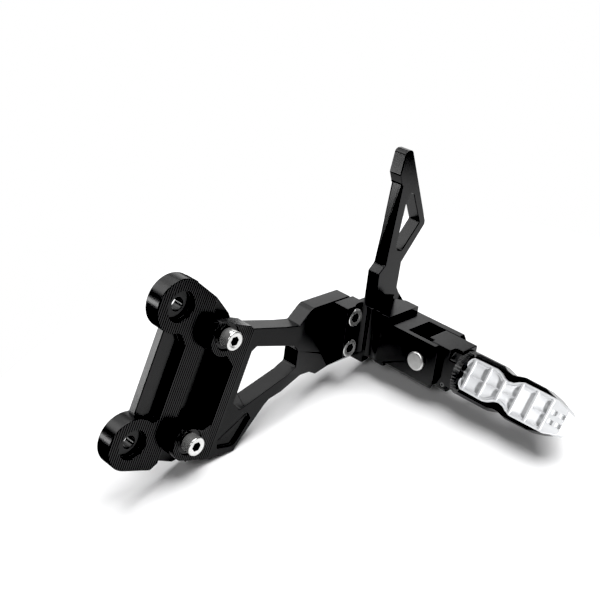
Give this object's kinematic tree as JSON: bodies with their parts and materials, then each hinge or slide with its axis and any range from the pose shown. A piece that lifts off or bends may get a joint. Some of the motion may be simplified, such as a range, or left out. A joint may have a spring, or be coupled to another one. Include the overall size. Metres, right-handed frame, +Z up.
{
  "type": "foot peg",
  "caption": "Folding rider foot peg on a bolt-on bracket, with a triangular heel guard, a waisted grip and a ribbed tread.",
  "frame": {"origin": "centre of the lower mounting bore, on the face that seats against the motorcycle's frame", "axes": "+X outward from the motorcycle, along the mounting bolts and the peg; +Y rearward along the bracket arm; +Z up"},
  "size_m": [0.2008, 0.2428, 0.1961],
  "materials": {
    "black_anodised": "satin black anodised",
    "plated_screw": "bright zinc-plated steel",
    "spring_steel": "bright drawn steel",
    "silver_tread": "matt silver anodised, machined"
  },
  "bodies": {
    "bracket": {"mount_plate": "black_anodised", "arm_bracket": "black_anodised", "peg_carrier": "black_anodised", "heel_guard": "black_anodised", "arm_screws": "plated_screw", "carrier_screws": "plated_screw", "guard_screws": "plated_screw", "pivot_pin": "plated_screw", "pin_clip": "spring_steel", "return_spring": "spring_steel"},
    "peg": {"peg_knuckle": "black_anodised", "grub_screw": "plated_screw", "grip_collar": "black_anodised", "grip_body": "black_anodised", "grip_set_screw": "spring_steel", "tread_pad": "silver_tread", "pad_screws": "spring_steel"}
  },
  "joints": [
    {"name": "peg_fold", "type": "hinge", "parent": "bracket", "child": "peg", "pos_m": [0.0887, 0.186, 0.0407], "axis": [0, -1, 0], "range_deg": [0, 50], "stiffness_Nm_per_rad": 0.8, "springref_deg": -22.92}
  ]
}
